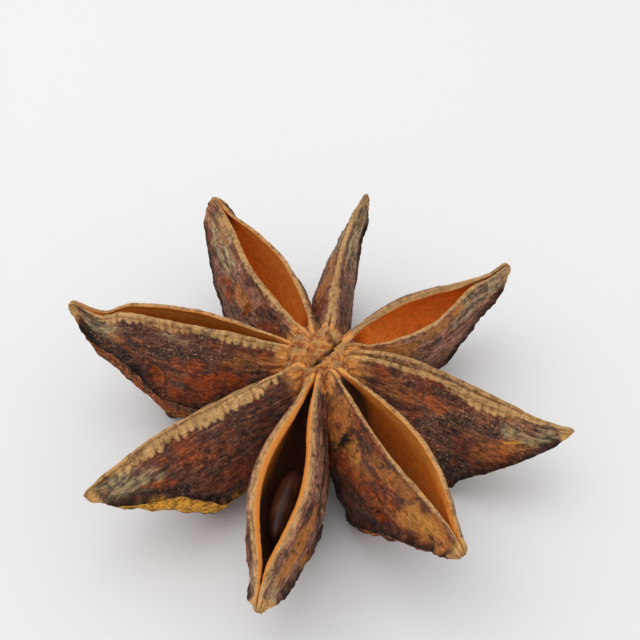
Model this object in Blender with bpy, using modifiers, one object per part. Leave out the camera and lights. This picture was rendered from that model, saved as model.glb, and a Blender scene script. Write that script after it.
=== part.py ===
"""Star anise pod: eight boat-shaped follicles fused round a short column.

Five follicles have split open along the suture on top, three are still shut
over most of their length, and one open follicle still holds its seed. The pod
lies on the blunt heels of its keels. Everything here is worked out in
millimetres in the pod's own frame, with the column on the Z axis, and turned
to metres as the meshes are made.
"""
from collections import namedtuple

import bmesh
import bpy
import numpy as np

MM = 0.001

# Driving dimensions, in millimetres.
HUB_HEIGHT = 7.4          # height at which the sutures meet over the column
SUTURE_START = 1.0        # radius at which each suture leaves the column
KEEL_START = 2.0          # radius at which each keel leaves the column
KEEL_START_HEIGHT = 3.3   # height of the keel where it leaves the column
KEEL_END = 0.3            # how far short of the suture the keel ends
KEEL_HALF_WIDTH = 0.5     # the keel is a blunt strip, twice this wide
BASE_BELLY, BEAK_BELLY = 0.40, 0.12    # how much of the belly is left at the column and at the tip
SHUT_LIP = 0.35           # half width of the ridge that two shut lips make
WALL = 0.50               # thickness of the woody wall of an open follicle
HEEL_FLAT = 0.12          # how much of each heel is worn to a flat spot
SLIT_START, SLIT_END = 0.05, 0.95       # where the lips part, from 0 at the base to 1 at the tip
CAVITY_START, CAVITY_END = 0.15, 0.93   # where the hollow runs
CAVITY_DEPTH = 0.80       # deepest part of the hollow, as a share of the follicle's height
LEAST_GAPE = 0.5          # lips that part less than this hide no hollow

COLUMN_RADIUS = 2.3
COLUMN_TOP = 7.1
COLUMN_BOTTOM = 2.6
STALK_SCAR_RADIUS = 1.1

SEED_LENGTH = 7.4
SEED_HEIGHT = 3.6
SEED_THICKNESS = 2.0
SEED_PLACE = 0.56         # how far along its follicle the seed lies
SEED_LEVEL = 0.60         # and how far up from the keel to the lips

# Mesh density.
STATIONS = 21             # sections along a follicle
SIDE_STEPS = 7            # steps from the keel up to a lip
HOLLOW_STEPS = 5          # steps from a lip down to the middle of the hollow

# One follicle. Lengths are in millimetres, places run from 0 at the base to 1 at the tip,
# and the azimuth is in degrees, anticlockwise from +X. Left and right are as seen from the column.
Follicle = namedtuple("Follicle", [
    "name",
    "azimuth",       # direction in which it points
    "reach",         # radius of its tip
    "tip_height",    # height of its tip
    "shoulder",      # height that the suture's curve pulls up to near the column
    "neck",          # and near the tip
    "sway",          # how far the suture's curve is pulled to the left near the tip
    "bend",          # how far the tip itself swings to the left
    "lean",          # how far the keel swings out to the left of the suture
    "heel",          # radius of the lowest point of the keel
    "rise",          # power of the keel's curve from the heel to the beak, 1 for straight
    "belly",         # swell of each side wall
    "belly_place",   # where the belly is fullest
    "taper",         # power of its fading towards the tip, small for a full one
    "gape",          # how far each lip stands away from the suture, 0 where shut
    "gape_place",    # where the lips stand widest apart
    "pinch",         # power of the gape's fading towards the tip, large where the lips close early
    "skew",          # how much higher the left lip stands than the suture
    "beak",          # depth of the follicle at its tip
])

FOLLICLES = (
    Follicle(
        "west", 168, 17.8, 8.7, 8.9, 9.0, -0.3, 0.4, 1.1, 10.9,
        0.85, 2.5, 0.47, 1.2, 0.8, 0.52, 1.6, 0.2, 2.0),
    Follicle(
        "southwest", 214, 17.9, 6.5, 7.4, 9.4, 0.7, 1.0, 1.3, 10.3,
        0.85, 2.9, 0.46, 1.6, 0.0, 0.5, 1.2, 0.2, 0.7),
    Follicle(
        "south", 257, 18.4, 6.1, 7.5, 8.8, 0.1, 0.5, 0.6, 10.4,
        0.6, 1.9, 0.56, 0.8, 1.55, 0.58, 1.2, -0.2, 1.0),
    Follicle(
        "southeast", 297, 17.4, 7.8, 8.6, 8.3, 0.9, -0.2, -1.5, 9.3,
        0.9, 2.7, 0.41, 1.5, 1.0, 0.52, 1.3, 0.1, 1.0),
    Follicle(
        "east", 351, 17.0, 4.9, 8.9, 5.1, -1.7, -1.9, -2.7, 9.5,
        0.5, 2.3, 0.44, 1.4, 0.1, 0.47, 1.2, 0.4, 0.7),
    Follicle(
        "northeast", 33, 16.8, 7.2, 6.5, 7.4, 0.2, 0.3, 0.5, 10.0,
        0.9, 2.3, 0.45, 1.2, 1.6, 0.42, 2.8, -0.1, 1.1),
    Follicle(
        "north", 80, 17.3, 8.4, 7.6, 6.8, 1.3, -0.6, 0.8, 10.6,
        1.2, 1.9, 0.42, 1.1, 0.0, 0.5, 1.2, 0.1, 1.0),
    Follicle(
        "northwest", 117, 17.5, 9.1, 8.4, 8.0, -0.3, 0.6, 1.0, 11.1,
        1.2, 2.7, 0.5, 0.6, 1.15, 0.47, 1.6, 0.0, 1.0),
)
SEED_FOLLICLE = "south"

# Finishes: colour in linear light, and roughness.
HUSK_COLOUR = (0.165, 0.066, 0.026, 1.0)
HUSK_ROUGHNESS = 0.72
SEED_COLOUR = (0.040, 0.013, 0.006, 1.0)
SEED_ROUGHNESS = 0.22


def clear_scene():
    """Removes every object that the scene starts with."""
    for obj in list(bpy.data.objects):
        bpy.data.objects.remove(obj, do_unlink=True)


def new_collection(name):
    """A collection in the scene."""
    collection = bpy.data.collections.new(name)
    bpy.context.scene.collection.children.link(collection)
    return collection


def new_material(name, colour, roughness):
    """A plain Principled material."""
    material = bpy.data.materials.new(name)
    material.use_nodes = True
    shader = material.node_tree.nodes["Principled BSDF"]
    shader.inputs["Base Color"].default_value = colour
    shader.inputs["Roughness"].default_value = roughness
    shader.inputs["Metallic"].default_value = 0.0
    material.diffuse_color = colour
    return material


def cubic(along, start, near, far, end):
    """A cubic Bezier curve's height, from its ends and its two pulls."""
    back = 1.0 - along
    pulls = 3.0 * near * back ** 2 * along + 3.0 * far * back * along ** 2
    return start * back ** 3 + pulls + end * along ** 3


def suture(follicle, along):
    """Middle line between the lips.

    It runs out from the column at an even rate. Its height is a cubic through
    the shoulder and the neck, and its place to the side one through the sway.
    """
    x = SUTURE_START + (follicle.reach - SUTURE_START) * along
    y = cubic(along, 0.0, 0.0, follicle.sway, follicle.bend)
    z = cubic(along, HUB_HEIGHT, follicle.shoulder, follicle.neck, follicle.tip_height)
    return np.stack([x, y, z], axis=-1)


def keel(follicle, along):
    """Middle line of the keel.

    Two power curves meet at the heel, one up to the column and one up to the
    beak, and the part within HEEL_FLAT of the ground is levelled.
    """
    end = follicle.reach - KEEL_END
    x = KEEL_START + (end - KEEL_START) * along
    inward = np.clip((follicle.heel - x) / (follicle.heel - KEEL_START), 0.0, 1.0)
    outward = np.clip((x - follicle.heel) / (end - follicle.heel), 0.0, 1.0)
    climb = follicle.tip_height - follicle.beak
    z = KEEL_START_HEIGHT * inward ** 1.6 + climb * outward ** follicle.rise
    y = suture(follicle, along)[..., 1] + follicle.lean * np.sin(np.pi * along)
    return np.stack([x, y, np.maximum(z - HEEL_FLAT, 0.0)], axis=-1)


def belly(follicle, along):
    """Swell of a side wall.

    A quarter sine up to the belly's place, and from there a falling power
    curve down to the narrow beak.
    """
    place = follicle.belly_place
    inward = np.clip(along / place, 0.0, 1.0)
    outward = np.clip((along - place) / (1.0 - place), 0.0, 1.0)
    rising = BASE_BELLY + (1.0 - BASE_BELLY) * np.sin(0.5 * np.pi * inward)
    falling = BEAK_BELLY + (1.0 - BEAK_BELLY) * (1.0 - outward ** 1.7) ** follicle.taper
    return follicle.belly * np.where(along < place, rising, falling)


def lip_half_width(follicle, along):
    """Distance from the suture to a lip: a sine hump, stretched to peak at the gape's place."""
    share = np.clip((along - SLIT_START) / (SLIT_END - SLIT_START), 0.0, 1.0)
    peak = (follicle.gape_place - SLIT_START) / (SLIT_END - SLIT_START)
    stretched = share ** (np.log(0.5) / np.log(peak))
    power = np.where(stretched < 0.5, 1.2, follicle.pinch)
    return SHUT_LIP + follicle.gape * np.clip(np.sin(np.pi * stretched), 0.0, 1.0) ** power


def side_half_width(follicle, along, level):
    """Half width of a follicle at a level from 0 on the keel to 1 on the lips.

    A quadratic through the keel's half width, the belly and the lip.
    """
    swell = belly(follicle, along)
    foot = KEEL_HALF_WIDTH * np.minimum(1.0, swell)
    lip = lip_half_width(follicle, along)
    return foot * (1.0 - level) ** 2 + 3.1 * swell * level * (1.0 - level) + lip * level ** 2


def hollow_depth(along):
    """Depth of the hollow as a share of the height, fading to 0 at its ends."""
    share = np.clip((along - CAVITY_START) / (CAVITY_END - CAVITY_START), 0.0, 1.0)
    return CAVITY_DEPTH * np.sqrt(np.sin(np.pi * share))


def hollow_half_width(follicle, along, level):
    """Half width of the hollow: the outer half width less the wall."""
    outer = side_half_width(follicle, along, level)
    return np.maximum(outer - WALL, 0.3 * outer)


def section_points(follicle, along, level, half_width, side=0.0):
    """Points at a level and a distance from the middle plane, on the side +1 left or -1 right."""
    top = suture(follicle, along)
    top[..., 2] += side * follicle.skew * np.sin(np.pi * along)
    bottom = keel(follicle, along)
    points = bottom * (1.0 - level)[..., None] + top * level[..., None]
    points[..., 1] += side * half_width
    return points


def follicle_rings(follicle):
    """Rings of points along a follicle, one closed ring for each station.

    A ring goes up one side from the keel to the lip, down and up through the
    hollow if the follicle is open, and down the other side.
    """
    along = np.linspace(0.0, 1.0, STATIONS)[:, None]
    up = np.linspace(0.0, 1.0, SIDE_STEPS + 1)[None, :]
    level = np.broadcast_to(up, (STATIONS, SIDE_STEPS + 1))
    along_side = np.broadcast_to(along, level.shape)
    half = side_half_width(follicle, along_side, level)
    right = section_points(follicle, along_side, level, half, -1.0)
    left = section_points(follicle, along_side, level, half, 1.0)[:, ::-1]
    if follicle.gape < LEAST_GAPE:
        return np.concatenate([right, left], axis=1)

    down = np.linspace(0.0, 1.0, HOLLOW_STEPS + 1)[None, :]
    level = 1.0 - hollow_depth(along) * down
    along_hollow = np.broadcast_to(along, level.shape)
    half = hollow_half_width(follicle, along_hollow, level) * np.sqrt(1.0 - down ** 2)
    inner_right = section_points(follicle, along_hollow, level, half, -1.0)
    inner_left = section_points(follicle, along_hollow, level, half, 1.0)[:, -2::-1]
    return np.concatenate([right, inner_right, inner_left, left], axis=1)


def turned(points, follicle):
    """Turns points about the column to the follicle's azimuth."""
    angle = np.radians(follicle.azimuth)
    cosine, sine = np.cos(angle), np.sin(angle)
    x, y, z = points[..., 0], points[..., 1], points[..., 2]
    return np.stack([cosine * x - sine * y, sine * x + cosine * y, z], axis=-1)


def box_middle():
    """Middle of the follicles' bounding box on the ground, in millimetres."""
    cloud = np.concatenate([turned(follicle_rings(f), f).reshape(-1, 3) for f in FOLLICLES])
    low, high = cloud.min(axis=0), cloud.max(axis=0)
    return np.array([0.5 * (low[0] + high[0]), 0.5 * (low[1] + high[1]), 0.0])


def loft(name, rings):
    """A closed mesh through rings of points in metres, with an end face on the first and last."""
    mesh = bpy.data.meshes.new(name)
    bm = bmesh.new()
    loops = [[bm.verts.new(point) for point in ring] for ring in rings]
    for near, far in zip(loops, loops[1:]):
        for i in range(len(near)):
            j = (i + 1) % len(near)
            bm.faces.new((near[i], near[j], far[j], far[i]))
    bm.faces.new(loops[0])
    bm.faces.new(loops[-1])
    bmesh.ops.triangulate(bm, faces=bm.faces[:])
    bmesh.ops.recalc_face_normals(bm, faces=bm.faces[:])
    bm.to_mesh(mesh)
    bm.free()
    return mesh


def make_follicle(follicle, middle, collection):
    """One follicle as a wire-drawn solid that the column takes in."""
    points = (turned(follicle_rings(follicle), follicle) - middle) * MM
    obj = bpy.data.objects.new("follicle_" + follicle.name, loft(follicle.name, points))
    obj.display_type = "WIRE"
    obj.hide_render = True
    collection.objects.link(obj)
    return obj


def make_column(middle, material, collection):
    """The column: a turned profile with a domed top and a stalk scar under it."""
    profile = (
        (0.0, COLUMN_TOP),
        (0.55 * COLUMN_RADIUS, COLUMN_TOP - 0.1),
        (0.9 * COLUMN_RADIUS, COLUMN_TOP - 0.6),
        (COLUMN_RADIUS, COLUMN_TOP - 1.6),
        (COLUMN_RADIUS, COLUMN_BOTTOM + 0.9),
        (STALK_SCAR_RADIUS, COLUMN_BOTTOM + 0.2),
        (STALK_SCAR_RADIUS, COLUMN_BOTTOM),
        (0.0, COLUMN_BOTTOM),
    )
    mesh = bpy.data.meshes.new("column")
    edges = [(i, i + 1) for i in range(len(profile) - 1)]
    mesh.from_pydata([(radius * MM, 0.0, height * MM) for radius, height in profile], edges, [])
    obj = bpy.data.objects.new("pericarp", mesh)
    obj.location = tuple(-middle * MM)
    obj.data.materials.append(material)
    collection.objects.link(obj)
    turn = obj.modifiers.new("turn", "SCREW")
    turn.steps = 24
    turn.render_steps = 24
    turn.use_merge_vertices = True
    turn.merge_threshold = 0.00001
    return obj


def join_follicles(column, follicles):
    """Adds one exact Boolean union for each follicle."""
    for follicle in follicles:
        union = column.modifiers.new("join_" + follicle.name, "BOOLEAN")
        union.operation = "UNION"
        union.solver = "EXACT"
        union.object = follicle


def make_seed(middle, material, collection):
    """The seed: a flattened lens, blunt at one end, standing on edge in its follicle."""
    follicle = next(f for f in FOLLICLES if f.name == SEED_FOLLICLE)
    place = np.array([SEED_PLACE])
    centre = section_points(follicle, place, np.array([SEED_LEVEL]), np.zeros(1))[0]
    step = 0.02
    fore = suture(follicle, place + step)[0] + keel(follicle, place + step)[0]
    aft = suture(follicle, place - step)[0] + keel(follicle, place - step)[0]
    forward = (fore - aft) / np.linalg.norm(fore - aft)
    upward = suture(follicle, place)[0] - keel(follicle, place)[0]
    sideways = np.cross(upward, forward)
    sideways = sideways / np.linalg.norm(sideways)
    upward = np.cross(forward, sideways)

    bm = bmesh.new()
    bmesh.ops.create_uvsphere(bm, u_segments=20, v_segments=12, radius=1.0)
    mesh = bpy.data.meshes.new("seed")
    bm.to_mesh(mesh)
    bm.free()
    ball = np.empty(len(mesh.vertices) * 3)
    mesh.vertices.foreach_get("co", ball)
    ball = ball.reshape(-1, 3)
    length = 0.5 * SEED_LENGTH * ball[:, 2:3]
    blunt = 1.0 - 0.12 * ball[:, 2:3]
    height = 0.5 * SEED_HEIGHT * ball[:, 0:1] * blunt
    thickness = 0.5 * SEED_THICKNESS * ball[:, 1:2] * blunt
    points = centre + length * forward + height * upward + thickness * sideways
    points = (turned(points, follicle) - middle) * MM
    mesh.vertices.foreach_set("co", points.ravel())
    bm = bmesh.new()
    bm.from_mesh(mesh)
    bmesh.ops.recalc_face_normals(bm, faces=bm.faces[:])
    bm.to_mesh(mesh)
    bm.free()
    mesh.shade_smooth()
    obj = bpy.data.objects.new("seed", mesh)
    obj.data.materials.append(material)
    collection.objects.link(obj)
    return obj


def main():
    clear_scene()
    parts = new_collection("star_anise_pod")
    joined = new_collection("joined_shapes")
    husk = new_material("husk", HUSK_COLOUR, HUSK_ROUGHNESS)
    seed_coat = new_material("seed_coat", SEED_COLOUR, SEED_ROUGHNESS)
    middle = box_middle()
    column = make_column(middle, husk, parts)
    follicles = [make_follicle(follicle, middle, joined) for follicle in FOLLICLES]
    join_follicles(column, follicles)
    make_seed(middle, seed_coat, parts)


main()
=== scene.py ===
"""Star anise pod, dressed: wrinkled woody follicles, a knotted column and a glossy seed.

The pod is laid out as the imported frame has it. Lengths in the shape functions
are millimetres in the pod's own frame, with the column on the Z axis, and they
are turned to metres and moved onto the frame as each mesh is made.
"""
from collections import namedtuple

import bpy
import numpy as np
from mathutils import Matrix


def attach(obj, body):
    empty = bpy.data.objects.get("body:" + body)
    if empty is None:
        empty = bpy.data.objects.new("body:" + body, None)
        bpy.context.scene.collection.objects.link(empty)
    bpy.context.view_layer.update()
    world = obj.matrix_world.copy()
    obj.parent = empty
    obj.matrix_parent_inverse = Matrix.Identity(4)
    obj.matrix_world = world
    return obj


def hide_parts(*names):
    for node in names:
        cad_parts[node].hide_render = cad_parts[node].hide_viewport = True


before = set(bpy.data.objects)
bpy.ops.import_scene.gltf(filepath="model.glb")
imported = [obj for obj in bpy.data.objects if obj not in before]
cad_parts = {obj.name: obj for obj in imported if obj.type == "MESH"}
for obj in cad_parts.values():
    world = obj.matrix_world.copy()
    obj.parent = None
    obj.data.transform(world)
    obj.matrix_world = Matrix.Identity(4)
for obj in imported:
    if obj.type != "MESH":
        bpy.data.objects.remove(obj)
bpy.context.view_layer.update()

bl_info = {
    "name": "Star anise pod",
    "version": (1, 0, 0),
    "blender": (4, 5, 0),
    "location": "View3D > Sidebar > Star anise",
    "description": "Builds a dried star anise pod with open and shut follicles and a seed",
    "category": "Add Mesh",
}

MM = 0.001

# Driving dimensions in millimetres, those of the frame's solids. Places run from 0 to 1.
HUB_HEIGHT = 7.4                        # height at which the sutures meet over the column
SUTURE_START = 1.0                      # radius at which each suture leaves the column
KEEL_START, KEEL_START_HEIGHT = 2.0, 3.3
KEEL_END = 0.3                          # how far short of the suture the keel ends
KEEL_HALF_WIDTH = 0.5
BASE_BELLY, BEAK_BELLY = 0.40, 0.12     # share of the belly left at the column and at the tip
SHUT_LIP = 0.35                         # half width of the ridge that two shut lips make
WALL = 0.50                             # thickness of an open follicle's wall
HEEL_FLAT = 0.12                        # how much of each heel is worn flat
SLIT_START, SLIT_END = 0.05, 0.95       # places where the lips part
CAVITY_DEPTH = 0.80                     # the hollow's share of the follicle's height
LEAST_GAPE = 0.5                        # lips that part less than this hide no hollow

# What the solids leave out, or draw shorter.
CAVITY_START, CAVITY_END = 0.10, 0.97   # places where the hollow runs
BASE_DIP = 0.35                         # how far a follicle's base dips into the column
COLUMN_TILT = 0.12                      # slope of the column's top, down towards the south-east
TOOTH_PITCH = 0.58                      # distance between the teeth of the pale band
LUMP_SIZE, WRINKLE_SIZE, GRAIN_SIZE = 2.6, 0.8, 0.28    # cells of the bark's relief
LUMP, WRINKLE, GRAIN = 0.13, 0.11, 0.05                 # and its heights
FIBRE_LENGTH, FIBRE_WIDTH, FIBRE = 2.2, 0.24, 0.07      # cell and height of its long fibres
CREASE_DEPTH, CREASE_WIDTH = 0.26, 0.16                 # of the crease above the keel's strip

# Knobs on the column's top, each its x, y, spread and height, and the two ends of its cleft.
KNOBS = (
    (-1.9, 0.5, 0.9, 0.85), (-0.8, -0.3, 0.6, 0.20), (0.4, 2.0, 0.8, 0.55),
    (1.4, -0.4, 0.45, 0.40), (0.9, -1.2, 0.5, 0.40), (-0.6, -1.8, 0.5, 0.50),
)
CLEFT = ((1.9, 2.0), (-0.7, -1.1))
CLEFT_WIDTH, CLEFT_DEPTH = 0.09, 0.45
FLAT_SPOT = (0.4, 2.0, 0.9)             # x, y and spread of its worn, pale flat

# The column's outline, from the top's middle round to the stalk scar: places, then radii or heights.
COLUMN_RADII = ((0.0, 0.6, 0.8, 0.92, 0.95, 1.0), (0.01, 2.9, 2.3, 1.2, 1.1, 0.01))
COLUMN_HEIGHTS = ((0.0, 0.3, 0.45, 0.6, 0.8, 0.92, 0.95, 1.0), (7.50, 7.38, 7.05, 6.2, 3.6, 2.9, 2.6, 2.7))
COLUMN_STEPS = (190, 330)

# The stage: what the camera looks at in millimetres, how far off in metres and how high in degrees,
# its lens, and in metres the lamp's place and size and half of the floor's side.
AIM = (-0.2, 5.75, 5.0)
EYE_DISTANCE, EYE_ELEVATION, EYE_LENS = 0.06835, 43.8, 52.6
LAMP_PLACE, LAMP_SIZE = (-0.12, 0.05, 0.34), 0.36
FLOOR_HALF = 2.0

# Points of a follicle's grid: along it, in its beak, then up one side of a ring and down inside.
STATIONS, BEAK_STATIONS = 240, 30
KEEL_STEPS, SIDE_STEPS, LIP_STEPS = 8, 88, 14
HOLLOW_STEPS, RIDGE_STEPS = 44, 10

# One follicle, as the solids have it. Places run from 0 at the base to 1 at the tip, the azimuth
# is in degrees from +X, and left and right are as seen from the column.
Follicle = namedtuple("Follicle", [
    "name", "azimuth",
    "reach", "tip_height",           # radius and height of its tip
    "shoulder", "neck",              # heights that pull the suture's curve near the column and the tip
    "sway", "bend",                  # how far the suture is pulled left near the tip, and at it
    "lean", "heel", "rise",          # the keel's swing to the left, its lowest point, its outer power
    "belly", "belly_place",          # swell of a side wall, and where it is fullest
    "taper",                         # power of its fading towards the tip
    "gape", "gape_place", "pinch",   # parting of the lips, where it is widest, power of its fading
    "skew", "beak",                  # how much the left lip stands higher, and depth at the tip
])
FOLLICLES = (
    Follicle(
        "west", 168, 17.8, 8.7, 8.9, 9.0, -0.3, 0.4, 1.1, 10.9,
        0.85, 2.5, 0.47, 1.2, 0.8, 0.52, 1.6, 0.2, 2.0),
    Follicle(
        "southwest", 214, 17.9, 6.5, 7.4, 9.4, 0.7, 1.0, 1.3, 10.3,
        0.85, 2.9, 0.46, 1.6, 0.0, 0.5, 1.2, 0.2, 0.7),
    Follicle(
        "south", 257, 18.4, 6.1, 7.5, 8.8, 0.1, 0.5, 0.6, 10.4,
        0.6, 1.9, 0.56, 0.8, 1.55, 0.58, 1.2, -0.2, 1.0),
    Follicle(
        "southeast", 297, 17.4, 7.8, 8.6, 8.3, 0.9, -0.2, -1.5, 9.3,
        0.9, 2.7, 0.41, 1.5, 1.0, 0.52, 1.3, 0.1, 1.0),
    Follicle(
        "east", 351, 17.0, 4.9, 8.9, 5.1, -1.7, -1.9, -2.7, 9.5,
        0.5, 2.3, 0.44, 1.4, 0.1, 0.47, 1.2, 0.4, 0.7),
    Follicle(
        "northeast", 33, 16.8, 7.2, 6.5, 7.4, 0.2, 0.3, 0.5, 10.0,
        0.9, 2.3, 0.45, 1.2, 1.6, 0.42, 2.8, -0.1, 1.1),
    Follicle(
        "north", 80, 17.3, 8.4, 7.6, 6.8, 1.3, -0.6, 0.8, 10.6,
        1.2, 1.9, 0.42, 1.1, 0.0, 0.5, 1.2, 0.1, 1.0),
    Follicle(
        "northwest", 117, 17.5, 9.1, 8.4, 8.0, -0.3, 0.6, 1.0, 11.1,
        1.2, 2.7, 0.5, 0.6, 1.15, 0.47, 1.6, 0.0, 1.0),
)
SEED_FOLLICLE = "south"

# What drying did to one follicle's skin. Lengths are in millimetres.
Skin = namedtuple("Skin", [
    "lip_right", "lip_left",   # thickness of the lips' edges
    "bevel",                   # how far over the lips' crest the pale edge reaches inwards
    "groove",                  # place out to which shut lips still show a groove between them
    "band", "tooth",           # depth of the pale band under the lips, and length of its teeth
    "strip", "narrowing",      # height of the rough strip on the keel, and the share lost at the tip
    "tip",                     # how much bare pale wood shows at the tip
    "hook",                    # how far the beak's tip turns up, and dips before it
    "pale",                    # share of the pale mauve coat
    "specked",                 # how thick the fine pale specks lie
    # dark: how soon the painted shade darkens the hollow
    "dark",                    # how soon the hollow gets dark
    "marks",                   # rows of Mark by their kind
])
# A mark is an oval on a side wall, 1 for left, -1 for right and 0 for both. Rust, char, tan, dust,
# purple and ochre are stains, tear, pit, flap, fold, blister and hollow are shapes, and the rows of
# band make the pale band deeper or shallower about a place.
Mark = namedtuple("Mark", ["side", "along", "level", "length", "height", "strength"])

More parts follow.
